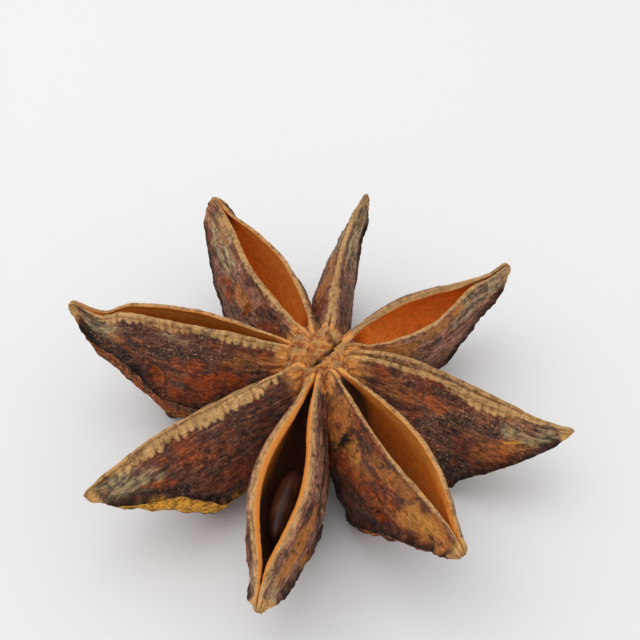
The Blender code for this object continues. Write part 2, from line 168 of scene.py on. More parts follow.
SKINS = {
    "west": Skin(0.3, 0.32, 0.14, 0.0, 0.62, 0.22, 3.5, 0.55, 0.7, 0.7, 0.15, 0.9, 2.4, {
        "rust": ((1, 0.34, 0.6, 2.6, 0.8, 1.0), (1, 0.46, 0.74, 1.5, 0.5, 0.7),
            (1, 0.43, 0.46, 2.4, 0.7, 0.9), (1, 0.6, 0.55, 0.45, 0.6, 0.9),
            (1, 0.7, 0.22, 3.0, 0.5, 0.7)),
        "char": ((1, 0.91, 0.66, 1.5, 0.9, 0.8), (1, 0.82, 0.54, 3.0, 0.8, 0.95),
            (1, 0.55, 0.8, 2.0, 0.35, 0.6), (1, 0.25, 0.45, 1.6, 0.6, 0.5)),
        "tan": ((1, 0.78, 0.74, 0.7, 0.3, 0.35), (1, 0.24, 0.82, 1.8, 0.6, 0.4),
            (1, 0.595, 0.58, 0.45, 0.55, 0.3)),
        "dust": ((1, 0.54, 0.92, 1.4, 0.25, 0.5), (1, 0.86, 0.84, 1.8, 0.6, 0.9)),
        "purple": ((1, 0.48, 0.84, 4.0, 0.8, 0.9),),
        "fold": ((1, 0.16, 0.735, 1.5, 0.1, 1.0),),
        "blister": ((1, 0.595, 0.58, 0.62, 0.8, 1.0),),
    }),
    "southwest": Skin(0.3, 0.3, 0.14, 0.0, 0.72, 0.3, 2.7, 0.7, 0.95, 0.15, 0.1, 0.5, 1.0, {
        "rust": ((1, 0.57, 0.78, 1.4, 0.6, 0.35), (1, 0.48, 0.52, 2.2, 0.7, 0.3),
            (1, 0.74, 0.6, 1.2, 0.3, 0.9)),
        "char": ((1, 0.78, 0.52, 2.8, 0.3, 0.95), (1, 0.52, 0.36, 2.6, 0.5, 0.8)),
        "dust": ((1, 0.88, 0.7, 2.6, 0.9, 0.8),),
        "purple": ((1, 0.3, 0.75, 2.6, 1.8, 0.9), (1, 0.62, 0.66, 2.6, 0.7, 0.7),
            (1, 0.9, 0.9, 1.6, 0.5, 0.9)),
        "ochre": ((1, 0.66, 0.22, 4.2, 1.0, 1.0),),
        "band": ((1, 0.44, 0.0, 2.6, 0.0, 0.35), (1, 0.12, 0.0, 2.2, 0.0, -0.5)),
    }),
    "south": Skin(0.74, 0.74, 0.06, 0.0, 0.16, 0.12, 1.6, 0.6, 0.9, 0.1, 0.66, 0.15, 2.6, {
        "tan": ((1, 0.75, 0.8, 3.0, 0.6, 0.8), (-1, 0.6, 0.85, 3.5, 0.8, 0.8),
            (1, 0.72, 0.25, 0.9, 0.6, 1.0)),
        "dust": ((0, 0.94, 0.9, 1.3, 0.9, 0.8),),
        "purple": ((1, 0.5, 0.9, 3.0, 0.5, 0.6), (1, 0.7, 0.55, 3.0, 0.4, 0.6)),
    }),
    "southeast": Skin(0.3, 0.3, 0.14, 0.0, 0.1, 0.08, 1.6, 0.6, 0.8, 0.1, 0.1, 0.25, 1.2, {
        "rust": ((-1, 0.58, 0.7, 2.4, 1.2, 0.45), (-1, 0.4, 0.72, 1.4, 0.8, 0.8),
            (-1, 0.26, 0.7, 1.6, 1.4, 0.8), (-1, 0.62, 0.62, 0.55, 0.5, 1.0),
            (-1, 0.66, 0.5, 0.6, 0.6, 0.9)),
        "char": ((-1, 0.46, 0.56, 1.9, 0.9, 0.8), (-1, 0.3, 0.4, 2.4, 2.0, 0.9),
            (-1, 0.58, 0.78, 0.8, 0.3, 0.5), (-1, 0.5, 0.36, 2.2, 0.7, 0.9)),
        "tan": ((-1, 0.26, 0.86, 2.2, 1.0, 0.6), (-1, 0.6, 0.93, 3.0, 0.4, 0.5),
            (-1, 0.82, 0.7, 2.4, 1.0, 0.85), (-1, 0.5, 0.8, 0.9, 0.5, 0.35),
            (-1, 0.41, 0.84, 0.9, 0.6, 1.0), (-1, 0.62, 0.62, 0.5, 0.38, 0.5)),
        "purple": ((-1, 0.58, 0.82, 3.2, 0.35, 0.9),),
        "ochre": ((-1, 0.8, 0.76, 1.6, 0.5, 0.3),),
        "tear": ((-1, 0.365, 0.865, 0.34, 0.34, 1.0), (-1, 0.335, 0.76, 0.3, 0.14, 0.9),
            (-1, 0.62, 0.64, 0.2, 0.13, 0.9)),
        "pit": ((-1, 0.62, 0.64, 0.32, 0.26, 1.0),),
        "flap": ((-1, 0.405, 0.8, 0.55, 0.42, 1.0), (-1, 0.335, 0.88, 0.25, 0.3, 1.0)),
        "blister": ((-1, 0.66, 0.5, 0.42, 0.45, 0.8),),
    }),
    "east": Skin(0.3, 0.3, 0.14, 0.26, 0.15, 0.16, 0.9, 0.5, 0.95, 0.15, 0.1, 0.9, 1.0, {
        "rust": ((-1, 0.42, 0.86, 0.8, 0.35, 0.7), (-1, 0.66, 0.46, 1.8, 0.9, 0.35)),
        "char": ((-1, 0.48, 0.36, 1.8, 1.3, 0.95), (-1, 0.52, 0.8, 1.0, 0.6, 0.6),
            (-1, 0.68, 0.8, 1.6, 0.3, 0.6), (-1, 0.86, 0.66, 1.4, 0.3, 0.7)),
        "tan": ((-1, 0.3, 0.84, 2.0, 0.5, 0.2), (-1, 0.66, 0.52, 1.6, 0.7, 0.25),
            (-1, 0.78, 0.6, 1.3, 0.4, 0.4)),
        "dust": ((-1, 0.84, 0.84, 2.2, 0.6, 0.7),),
        "purple": ((-1, 0.36, 0.7, 2.4, 1.0, 0.7),),
        "ochre": ((-1, 0.74, 0.12, 3.0, 0.4, 0.7), (-1, 0.76, 0.66, 0.6, 0.08, 0.7)),
        "hollow": ((-1, 0.4, 0.55, 1.6, 1.1, 0.35),),
        "band": ((-1, 0.62, 0.0, 2.0, 0.0, 0.55),),
    }),
    "northeast": Skin(0.28, 0.7, 0.5, 0.0, 0.16, 0.1, 1.5, 0.6, 0.5, 0.25, 0.55, 0.15, 0.15, {
        "tan": ((-1, 0.22, 0.88, 1.8, 0.8, 0.9), (-1, 0.5, 0.95, 2.5, 0.4, 0.8)),
        "dust": ((-1, 0.7, 0.85, 2.4, 0.8, 0.8), (0, 0.9, 0.8, 1.6, 0.8, 0.9)),
        "purple": ((-1, 0.4, 0.8, 3.0, 1.2, 0.5),),
    }),
    "north": Skin(0.3, 0.3, 0.14, 0.12, 0.36, 0.1, 1.5, 0.6, 0.35, 0, 0.55, 0.25, 1.0, {
        "rust": ((1, 0.3, 0.8, 2.2, 1.0, 0.5),),
        "tan": ((1, 0.45, 0.85, 3.0, 0.8, 0.7),),
        "dust": ((0, 0.8, 0.8, 3.4, 1.6, 1.0),),
        "purple": ((-1, 0.45, 0.8, 3.0, 1.0, 0.6),),
    }),
    "northwest": Skin(0.28, 0.36, 0.14, 0.0, 0.36, 0.2, 1.8, 0.5, 0.35, 0.2, 0.5, 0.5, 0.55, {
        "rust": ((1, 0.58, 0.7, 1.2, 0.8, 0.9), (1, 0.37, 0.76, 0.45, 0.6, 0.7),
            (1, 0.2, 0.7, 1.4, 0.9, 0.7)),
        "char": ((1, 0.29, 0.86, 0.6, 0.4, 0.5), (1, 0.86, 0.86, 1.6, 0.5, 0.7)),
        "tan": ((1, 0.44, 0.79, 1.6, 0.6, 0.8), (1, 0.8, 0.92, 2.0, 0.4, 0.4),
            (1, 0.37, 0.76, 0.35, 0.5, 0.4)),
        "dust": ((1, 0.76, 0.84, 2.9, 1.0, 1.0),),
        "blister": ((1, 0.37, 0.76, 0.4, 0.55, 0.4),),
    }),
}


# ---------------------------------------------------------------- numbers

def smooth(x, low, high):
    """0 below low, 1 above high, and 3s^2 - 2s^3 of the share s between them."""
    s = np.clip((x - low) / (high - low), 0.0, 1.0)
    return s * s * (3.0 - 2.0 * s)


def bell(x, width):
    """1 at the middle, falling to both sides as e to the minus square of x over the width."""
    return np.exp(-(x / width) ** 2)


def lattice(cell, seed):
    """A fixed value from -1 to 1 for each whole-number cell: its indices mixed by odd multipliers."""
    index = cell.astype(np.int64).astype(np.uint32)
    mixed = np.uint32((seed * 2654435761) & 0xFFFFFFFF)
    for axis, multiplier in enumerate((73856093, 19349663, 83492791)):
        mixed = mixed ^ (index[..., axis] * np.uint32(multiplier))
    mixed = (mixed ^ (mixed >> np.uint32(13))) * np.uint32(1274126177)
    mixed = mixed ^ (mixed >> np.uint32(16))
    return (mixed & np.uint32(0xFFFFFF)).astype(float) / 0x7FFFFF - 1.0


def noise(points, size, seed, octaves=1):
    """Value noise: lattice values blended with 3s^2 - 2s^3 along each axis.

    Each octave halves the cell and the weight, and the sum is brought back to
    about -1 to 1. The size of a cell is a number, or one for each axis, and the
    seed picks one of many such patterns.
    """
    total, weight, share = 0.0, 0.0, 1.0
    for octave in range(octaves):
        place = points * (2.0 ** octave / np.asarray(size)) + 19.7 * seed
        base = np.floor(place)
        s = place - base
        s = s * s * (3.0 - 2.0 * s)
        value = 0.0
        for corner in range(8):
            step = np.array([corner & 1, (corner >> 1) & 1, corner >> 2])
            part = np.prod(np.where(step == 1, s, 1.0 - s), axis=-1)
            value = value + part * lattice(base + step, seed + octave)
        total, weight, share = total + share * value, weight + share, 0.5 * share
    return total / weight


def linear(code):
    """An sRGB hex colour as linear red, green and blue."""
    values = [int(code[i:i + 2], 16) / 255.0 for i in (1, 3, 5)]
    return tuple(v / 12.92 if v <= 0.04045 else ((v + 0.055) / 1.055) ** 2.4 for v in values)


# ---------------------------------------------------------------- shape of a follicle

def cubic(along, start, near, far, end):
    """A cubic Bezier curve's height, from its ends and its two pulls."""
    back = 1.0 - along
    pulled = 3.0 * back * along * (near * back + far * along)
    return start * back ** 3 + pulled + end * along ** 3


def suture(follicle, along):
    """Middle line between the lips: even in radius, a cubic in height and one to the side.

    A bell-shaped dip in front of the tip and a rise at it hook the beak upwards.
    """
    x = SUTURE_START + (follicle.reach - SUTURE_START) * along
    y = cubic(along, 0.0, 0.0, follicle.sway, follicle.bend)
    z = cubic(along, HUB_HEIGHT, follicle.shoulder, follicle.neck, follicle.tip_height)
    z = z + SKINS[follicle.name].hook * (bell(1.0 - along, 0.05) - bell(along - 0.86, 0.07))
    return np.stack([x, y, z], axis=-1)


def keel(follicle, along):
    """Middle line of the keel: two power curves that meet at the heel, levelled at the ground."""
    end = follicle.reach - KEEL_END
    x = KEEL_START + (end - KEEL_START) * along
    inward = np.clip((follicle.heel - x) / (follicle.heel - KEEL_START), 0.0, 1.0)
    outward = np.clip((x - follicle.heel) / (end - follicle.heel), 0.0, 1.0)
    climb = follicle.tip_height - follicle.beak
    z = KEEL_START_HEIGHT * inward ** 1.6 + climb * outward ** follicle.rise
    y = suture(follicle, along)[..., 1] + follicle.lean * np.sin(np.pi * along)
    return np.stack([x, y, np.maximum(z - HEEL_FLAT, 0.0)], axis=-1)


def belly(follicle, along):
    """Swell of a side wall: a quarter sine up to its place, then a falling power curve."""
    place = follicle.belly_place
    inward = np.clip(along / place, 0.0, 1.0)
    outward = np.clip((along - place) / (1.0 - place), 0.0, 1.0)
    rising = BASE_BELLY + (1.0 - BASE_BELLY) * np.sin(0.5 * np.pi * inward)
    falling = BEAK_BELLY + (1.0 - BEAK_BELLY) * (1.0 - outward ** 1.7) ** follicle.taper
    return follicle.belly * np.where(along < place, rising, falling)


def lip_half_width(follicle, along):
    """Distance from the suture to a lip: a sine hump, stretched to peak at the gape's place.

    The hump is raised to a power of 1.2 up to its peak and to the follicle's pinch beyond it.
    Shut lips pinch together past the groove, and all lips do towards the tip.
    """
    share = np.clip((along - SLIT_START) / (SLIT_END - SLIT_START), 0.0, 1.0)
    peak = (follicle.gape_place - SLIT_START) / (SLIT_END - SLIT_START)
    stretched = share ** (np.log(0.5) / np.log(peak))
    shut = SHUT_LIP * (1.0 - 0.25 * smooth(along, 0.80, 0.97))
    if follicle.gape < LEAST_GAPE:
        groove = SKINS[follicle.name].groove
        shut = shut * (1.0 - 0.55 * smooth(along, groove, groove + 0.15))
    power = np.where(stretched < 0.5, 1.2, follicle.pinch)
    return shut + follicle.gape * np.clip(np.sin(np.pi * stretched), 0.0, 1.0) ** power


def side_half_width(follicle, along, level):
    """Half width at a level: a quadratic through the keel's half width, the belly and the lip."""
    swell = belly(follicle, along)
    foot = KEEL_HALF_WIDTH * np.minimum(1.0, swell)
    lip = lip_half_width(follicle, along)
    return foot * (1.0 - level) ** 2 + 3.1 * swell * level * (1.0 - level) + lip * level ** 2


def follicle_height(follicle, along):
    """Distance from the keel to the suture."""
    return np.linalg.norm(suture(follicle, along) - keel(follicle, along), axis=-1)


def stations():
    """Places along a follicle: even up to the beak, then crowded towards its end as a sine is."""
    even = np.linspace(0.0, 0.94, STATIONS - BEAK_STATIONS, endpoint=False)
    end = 0.94 + 0.06 * np.sin(0.5 * np.pi * np.linspace(0.0, 1.0, BEAK_STATIONS))
    return np.concatenate([even, end])[:, None]


def shut_ridge(follicle, u, height):
    """Levels, half widths and depths from a shut lip over the ridge to the suture.

    The half width falls evenly, and a groove deepens to the middle where the lips still show.
    """
    down = np.linspace(0.0, 1.0, RIDGE_STEPS + 1)[None, :]
    end = SKINS[follicle.name].groove
    groove = 0.35 * (1.0 - smooth(u, end, end + 0.12)) if end > 0.0 else 0.0 * u
    level = 1.0 + (0.10 - groove * smooth(down, 0.2, 1.0)) / height
    half = 0.35 * lip_half_width(follicle, u) * (1.0 - down)
    return level, half, 0.3 * groove * down


def open_hollow(follicle, u, lip):
    """Levels, half widths and depths from an open lip down to the middle of the hollow.

    The hollow deepens as a power of a sine along the follicle. The wall thickens
    from the lip's edge, and across the hollow the half width falls as a circle's.
    """
    down = np.linspace(0.0, 1.0, HOLLOW_STEPS + 1)[None, :]
    share = np.clip((u - CAVITY_START) / (CAVITY_END - CAVITY_START), 0.0, 1.0)
    level = 1.0 - CAVITY_DEPTH * np.sin(np.pi * share) ** 0.4 * down
    wall = lip + (WALL - lip) * smooth(down, 0.0, 0.3)
    outer = side_half_width(follicle, u, level)
    half = np.maximum(outer - wall, 0.12 * outer) * np.sqrt(1.0 - down ** 2)
    return level, half, down + 0.0 * u


def half_ring(follicle, u, side):
    """One side of every ring, from the keel over the lip to the middle of the hollow.

    It climbs the side wall and rounds the lip on a half circle, then goes down
    the inner wall or, on a shut follicle, over the ridge. An open lip thins
    towards the column, and its inner edge is a hyperbola that never crosses the
    suture. Returned are the level, the half width, the share of the hollow's
    depth and the part: 0 on the outer wall, 1 on the lip's edge and 2 inside.
    """
    skin = SKINS[follicle.name]
    height = follicle_height(follicle, u)
    foot = np.minimum(0.5 * KEEL_HALF_WIDTH / height, 0.3)
    turn = np.linspace(0.0, 0.5 * np.pi, KEEL_STEPS, endpoint=False)[None, :]
    climb = np.linspace(0.0, 1.0, SIDE_STEPS)[None, :]
    level_out = np.concatenate([foot * (1.0 - np.cos(turn)), foot + (1.0 - foot) * climb], axis=1)
    round_foot = np.concatenate([np.sin(turn) + 0.0 * foot, np.ones_like(foot * climb)], axis=1)
    half_out = side_half_width(follicle, u, level_out) * round_foot

    lip_out = lip_half_width(follicle, u)
    angle = np.linspace(0.0, np.pi, LIP_STEPS + 2)[None, 1:-1]
    if follicle.gape < LEAST_GAPE:
        lip_in, inner_part = 0.35 * lip_out, 1.0
        level_in, half_in, depth = shut_ridge(follicle, u, height)
        crest = 0.10 * np.sin(np.minimum(angle, 0.5 * np.pi))
    else:
        lip = (skin.lip_left if side > 0 else skin.lip_right) * (0.45 + 0.55 * smooth(u, 0.08, 0.36))
        gap = lip_out - lip - 0.10
        lip_in = 0.5 * (gap + np.sqrt(gap ** 2 + 0.06)) * (0.15 + 0.85 * smooth(u, 0.04, 0.15))
        level_in, half_in, depth = open_hollow(follicle, u, lip)
        crest, inner_part = 0.4 * (lip_out - lip_in) * np.sin(angle), 2.0
    radius = 0.5 * (lip_out - lip_in)
    half_lip = lip_in + radius + radius * np.cos(angle)
    level_lip = 1.0 + crest / height

    level = np.concatenate([level_out, level_lip, level_in], axis=1)
    half = np.concatenate([half_out, half_lip, half_in], axis=1)
    hollow = np.concatenate([0.0 * level_out, 0.0 * level_lip, depth], axis=1)
    part = np.concatenate([0.0 * level_out, 1.0 + 0.0 * level_lip, inner_part + 0.0 * level_in], axis=1)
    return level, half, hollow, part


def follicle_grid(follicle):
    """Grid of points, one closed ring a station, with the level, side, hollow and part of each.

    The base dips into the column, the left lip stands higher than the right one
    by a sine, and a thin beak slims towards its tip. Near the tip the rings
    shrink to their middles as those of a half ball do.
    """
    u = stations()
    right = half_ring(follicle, u, -1.0)
    left = half_ring(follicle, u, 1.0)
    back = slice(-2, 0, -1)
    level, half, hollow, part = (np.concatenate([r, l[:, back]], axis=1) for r, l in zip(right, left))
    count = right[0].shape[1]
    side = np.where(np.arange(level.shape[1]) < count, -1.0, 1.0)[None, :] + 0.0 * level
    top, bottom = suture(follicle, u), keel(follicle, u)
    points = bottom * (1.0 - level)[..., None] + top * level[..., None]
    points[..., 1] += side * half
    points[..., 2] -= BASE_DIP * (1.0 - smooth(u, 0.0, 0.07)) * level
    points[..., 2] += side * np.clip(half / 0.3, 0.0, 1.0) * follicle.skew * np.sin(np.pi * u) * level
    middle = points.mean(axis=1, keepdims=True)
    into = np.clip(1.0 - (1.0 - u) * follicle.reach / (0.45 * follicle.beak + 0.2), 0.0, 1.0)
    slim = 1.0 - 0.35 * np.clip(3.3 - 3.3 * follicle.beak, 0.0, 1.0) * smooth(u, 0.90, 1.0)
    end = (slim * np.sqrt(np.maximum(1.0 - into ** 2, 0.001)))[..., None]
    return middle + (points - middle) * end, level, side * half, hollow, part


def ring_distance(points):
    """Signed distance along each ring from the crest of the nearer lip, outside positive."""
    step = np.linalg.norm(np.diff(points, axis=1), axis=-1)
    walk = np.concatenate([np.zeros((len(points), 1)), np.cumsum(step, axis=1)], axis=1)
    count = points.shape[1]
    first = KEEL_STEPS + SIDE_STEPS + LIP_STEPS // 2
    second = count - first
    right = walk[:, first:first + 1] - walk
    left = walk - walk[:, second:second + 1]
    return np.where(np.arange(count)[None, :] <= count // 2, right, left)


def grid_normals(points):
    """Outward unit normals: the cross product of the two grid directions."""
    ring = np.roll(points, -1, axis=1) - np.roll(points, 1, axis=1)
    run = np.gradient(points, axis=0)
    normal = np.cross(ring, run)
    length = np.linalg.norm(normal, axis=-1, keepdims=True)
    return normal / np.maximum(length, 1e-9)


def turned(points, azimuth):
    """Points turned about the column."""
    angle = np.radians(azimuth)
    cosine, sine = np.cos(angle), np.sin(angle)
    x, y, z = points[..., 0], points[..., 1], points[..., 2]
    return np.stack([cosine * x - sine * y, sine * x + cosine * y, z], axis=-1)


def pod_middle():
    """Middle of the follicles' box on the ground: it stands on the frame's origin."""
    low, high = np.full(3, np.inf), np.full(3, -np.inf)
    for follicle in FOLLICLES:
        points = turned(follicle_grid(follicle)[0], follicle.azimuth).reshape(-1, 3)
        low, high = np.minimum(low, points.min(axis=0)), np.maximum(high, points.max(axis=0))
    return np.array([0.5 * (low[0] + high[0]), 0.5 * (low[1] + high[1]), 0.0])


# ---------------------------------------------------------------- skin of a follicle

# The fields of a follicle's surface that each colour attribute of its mesh carries.
# Of these, crease, tear, depth and low are painted shade: in the crease, the tears and cracks, down the
# hollow, in the recesses and on the lower walls.
PAINTED = {
    "stains": ("rust", "char", "tan", "dust"),
    "wear_and_shade": ("band", "crease", "strip", "purple"),
    "zones": ("amber", "depth", "edge", "tip"),
    "tone_and_shade": ("calm", "pale", "low", "specked"),
    "wood": ("hub", "tear", "ochre"),
}


class Surface:
    """A follicle's grid, with the fields on it that its relief and its colours follow.

    A field has one value a point, mostly from 0 to 1. Edges between 0 and 1 are
    smooth steps, and most are made ragged with noise.
    """

    def __init__(self, follicle, seed):
        self.follicle, self.skin, self.seed = follicle, SKINS[follicle.name], seed
        self.points, self.level, self.half, self.hollow, part = follicle_grid(follicle)
        self.off_lip = ring_distance(self.points)
        self.along = stations() + 0.0 * self.level
        self.run = self.along * follicle.reach
        self.height = follicle_height(follicle, self.along)
        self.spot = self.points + np.array([0.0, 60.0 * seed, 0.0])
        sign = np.sign(self.half)
        self.lane = 4.0 * sign + 9.7 * seed
        self.beat = np.stack([self.run, sign, 0.0 * self.run], axis=-1)
        self.strand = np.stack([self.run, 6.0 * self.level, sign], axis=-1)
        self.outside = (part < 0.5).astype(float)
        self.inside = (part > 1.5).astype(float)
        self.ragged = 0.35 * noise(self.spot, 0.7, 3, 3)
        for kind in ("rust", "char", "tan", "dust", "purple", "ochre"):
            setattr(self, kind, self.stain(kind))
        self.lay_fibres()
        self.lay_crease()
        self.lay_band()
        self.lay_lips()
        self.lay_tone()

    def marks(self, kind):
        """The follicle's marks of a kind, each with the distance from its middle."""
        for row in self.skin.marks.get(kind, ()):
            mark = Mark(*row)
            yield mark, self.radius(mark, kind)

    def radius(self, mark, kind):
        """Distance from a mark's middle, 1 on its oval's edge and far off on the other side.

        A tear's is stretched by a cosine of five waves round it, which makes it a star.
        """
        length = (self.along - mark.along) * self.follicle.reach / mark.length
        rise = (self.level - mark.level) * self.height / max(mark.height, 0.01)
        away = 0.0 if mark.side == 0 else 9.0 * (self.half * mark.side < 0.0)
        star = 1.0 + 0.45 * np.cos(5.0 * np.arctan2(rise, length)) * (kind == "tear")
        return np.hypot(length, rise) * star + away + 9.0 * self.inside

    def stain(self, kind):
        """Strongest of the marks of a kind, each falling from 1 to 0 over a ragged edge."""
        total = np.zeros_like(self.level)
        for mark, r in self.marks(kind):
            total = np.maximum(total, mark.strength * smooth(1.25 - r + 1.3 * self.ragged, 0.0, 0.5))
        return total

    def lay_fibres(self):
        """Fibres by stretched noise, the pale wood by the column, and cracks where such a noise nears 0,
        filled with painted shade like the tears.
        """
        self.fibre = noise(self.strand, (FIBRE_LENGTH, FIBRE_WIDTH, 1.0), 31 + self.seed, 3)
        radius = SUTURE_START + self.run * (1.0 - SUTURE_START / self.follicle.reach)
        near = 1.0 - smooth(radius + 2.4 * self.ragged, 2.2, 3.5)
        self.hub = near * smooth(self.level, 0.35, 0.75) * (1.0 - self.inside)
        split = noise(self.strand, (1.8, 0.42, 1.0), 37 + self.seed, 2)
        # Painted shade fills the cracks, and with them the tears.
        self.crack = self.hub * bell(split, 0.07)
        self.tear = np.maximum(self.stain("tear"), 0.55 * self.crack)

    def lay_crease(self):
        """The rough strip up from the keel, and the painted shade of the crease over it: a bell across its
        edge.

        The strip's height wanders, grows away from the column and shrinks near the tip.
        A blister has its own thin ring of painted shade, in its groove.
        """
        wander = 0.35 * noise(self.beat, 1.6, 41 + self.seed, 2)
        low = 1.0 - self.skin.narrowing * smooth(self.along, 0.66, 0.92)
        strip = (self.skin.strip + wander) * smooth(self.along, 0.25, 0.52) * low
        self.over_crease = (self.level - np.minimum(strip / self.height, 0.70)) * self.height
        self.creased = smooth(self.along, 0.34, 0.50) * (1.0 - smooth(self.along, 0.93, 0.99))
        line = bell(self.over_crease + 0.05 + 0.6 * self.ragged, 0.22)
        self.crease = self.creased * self.outside * line
        self.strip = self.creased * self.outside * smooth(-self.over_crease, 0.0, 0.12)
        for mark, r in self.marks("blister"):
            self.crease = np.maximum(self.crease, 0.65 * mark.strength * bell(r - 1.2, 0.11))

    def lay_band(self):
        """The pale band under the lips: its depth is its own, plus noise, pulls and teeth.

        The teeth are a sine's absolute value to a power, with an uneven beat.
        The band is worn through in spots, and hardly reaches over a shut crest.
        """
        skin, reach = self.skin, self.follicle.reach
        phase = self.run / TOOTH_PITCH + 0.9 * noise(self.beat, 1.1, 51 + self.seed, 2)
        tooth = np.abs(np.sin(np.pi * phase)) ** 0.8
        uneven = min(1.8 * skin.tooth, 0.5) * noise(self.beat, 1.3, 55 + self.seed, 2)
        depth = skin.band * (1.0 + uneven)
        for mark, _ in self.marks("band"):
            depth = depth + mark.strength * bell((self.along - mark.along) * reach, mark.length)
        depth = depth + skin.tooth * (tooth - 0.5) * (1.0 + 0.7 * noise(self.beat, 0.5, 59 + self.seed))
        depth = depth * smooth(self.along, 0.02, 0.14) * (1.0 - 0.9 * smooth(self.along, 0.82, 0.93))
        cover = smooth(depth - self.off_lip + 0.4 * self.ragged, -0.05, 0.10) * (1.0 - self.inside)
        bare = smooth(noise(self.spot, 0.55, 61, 3), 0.15, 0.5)
        worn = smooth(noise(self.beat, 0.33, 63 + self.seed, 2), 0.2, 0.6)
        beyond = smooth(-self.off_lip, 0.05, 0.25) * (skin.tooth > 0.15)
        self.band = cover * (1.0 - 0.55 * bare) * (1.0 - 0.5 * (1.0 - tooth) ** 3)
        self.band = self.band * (1.0 - 0.7 * beyond) * (1.0 - 0.5 * worn)

    def lay_lips(self):
        """The worn edge of the lips, the amber inside them, the painted shade down the hollow, and the bare
        tip.

        The painted shade grows evenly with the hollow's depth, and sooner at both ends.
        """
        skin, is_open = self.skin, self.follicle.gape >= LEAST_GAPE
        self.amber = smooth(-self.off_lip, 0.3 * skin.bevel, skin.bevel + 0.06) * is_open
        thick = np.where(self.half > 0.0, skin.lip_left, skin.lip_right)
        cap = np.minimum(0.75 * thick, 0.36) if is_open else 0.18
        worn = np.clip(0.75 + 0.45 * noise(self.spot, 0.5, 67, 2), 0.0, 1.0)
        inward = smooth(-self.off_lip, 0.2 * skin.bevel, skin.bevel)
        crest = (1.0 - smooth(self.off_lip, 0.35 * cap, cap)) * (1.0 - inward)
        self.edge = crest * worn * (1.0 - 0.8 * self.hub) * np.interp(thick, (0.30, 0.60), (0.50, 1.0))
        ends = 1.0 - smooth(self.along, 0.10, 0.26) * (1.0 - smooth(self.along, 0.86, 0.94))
        # Painted shade down the hollow: darker with its depth, and sooner at both ends.
        dark = skin.dark * (self.hollow - 0.03) + 0.8 * ends * smooth(self.hollow, 0.02, 0.30)
        self.depth = np.clip(dark, 0.0, 1.0)
        reach = self.follicle.reach
        self.tip = skin.tip * smooth(self.run + 0.9 * self.ragged, reach - 1.0, reach - 0.6)

    def lay_tone(self):
        """Places with little grain, the pale coat, painted shade in the recesses and on the lower walls, and
        the specks.
        """
        calm = 0.55 * self.amber + 0.75 * self.band + 0.6 * self.edge + 0.4 * self.hub + 0.5 * self.tan
        self.calm = np.clip(calm, 0.0, 1.0)
        self.pale = smooth(self.skin.pale + 0.5 * noise(self.spot, 1.7, 43, 3), 0.25, 0.75)
        # Painted shade: darker where the wrinkles and grain sink, and on the lower walls towards the keel.
        fine = 0.6 * noise(self.spot, WRINKLE_SIZE, 5, 2) + 0.4 * noise(self.spot, GRAIN_SIZE, 8, 2)
        under = (1.0 - smooth(self.level, 0.20, 0.62)) * (1.0 - self.strip) * self.outside
        self.low = np.clip(smooth(-fine, 0.05, 0.45) + 0.8 * under, 0.0, 1.0)
        thick = smooth(noise(self.spot, 1.9, 47, 2) + 0.5, 0.1, 0.8)
        self.specked = self.skin.specked * thick * (1.0 - 0.7 * self.rust)

    def relief(self):
        """Lift along the normals, in millimetres.

        Broad lumps, wrinkles and grain outside, fading to smooth at the lips and
        inside, then the fibres, the strip, the band and the wood by the column.
        The marks come last: a blister is a smooth bump in a thin groove, a pit a
        bell in a raised ring, a tear and a flap have sharp ragged edges, a fold
        is a groove in a ridge, and a hollow is a broad bell.
        """
        coarse = LUMP * noise(self.spot, LUMP_SIZE, 1, 2) + WRINKLE * noise(self.spot, WRINKLE_SIZE, 5, 2)
        grain = GRAIN * noise(self.spot, GRAIN_SIZE, 8, 2)
        lift = self.outside * smooth(self.off_lip, 0.0, 0.6) * (coarse + 0.8 * grain)
        lift = lift + (1.0 - self.inside) * 0.6 * grain
        lift = lift + self.inside * 0.03 * noise(self.spot, 1.6, 13, 2)
        strands = FIBRE * self.fibre * (0.4 + smooth(self.along, 0.6, 0.9) + self.hub)
        lift = lift + self.outside * strands
        crease = CREASE_DEPTH * bell(self.over_crease, CREASE_WIDTH)
        shoulder = 0.12 * smooth(self.over_crease, 0.0, 0.5)
        crumbs = 0.14 * noise(self.spot, 0.55, 17, 2) * smooth(-self.over_crease, 0.0, 0.3)
        lift = lift + self.outside * self.creased * (shoulder - crease + crumbs)
        lift = lift + 0.06 * self.band * self.outside
        knots = 0.20 * noise(self.spot, 0.75, 23, 3) - 0.22 * self.crack
        lift = lift + self.hub * knots * self.outside
        for _, r in self.marks("blister"):
            lift = lift + 0.34 * smooth(1.2 - r, 0.0, 0.9) - 0.07 * bell(r - 1.2, 0.15)
        for _, r in self.marks("pit"):
            lift = lift - 0.32 * bell(r, 1.0) + 0.08 * bell(r - 1.6, 0.4)
        for _, r in self.marks("tear"):
            lift = lift - 0.45 * smooth(1.2 - r + 0.6 * self.ragged, 0.0, 0.4)
        for _, r in self.marks("flap"):
            lift = lift + 0.26 * smooth(1.1 - r + 1.3 * self.ragged, 0.0, 0.25)
        for _, r in self.marks("fold"):
            lift = lift - 0.08 * bell(r, 1.0) + 0.05 * bell(r - 2.0, 0.7)
        for mark, r in self.marks("hollow"):
            lift = lift - mark.strength * bell(r, 1.0)
        return lift

    def attribute(self, names):
        """Up to four fields side by side, filled up to four with noughts."""
        fields = [getattr(self, name) for name in names]
        return np.stack(fields + [0.0 * self.run] * (4 - len(names)), axis=-1)

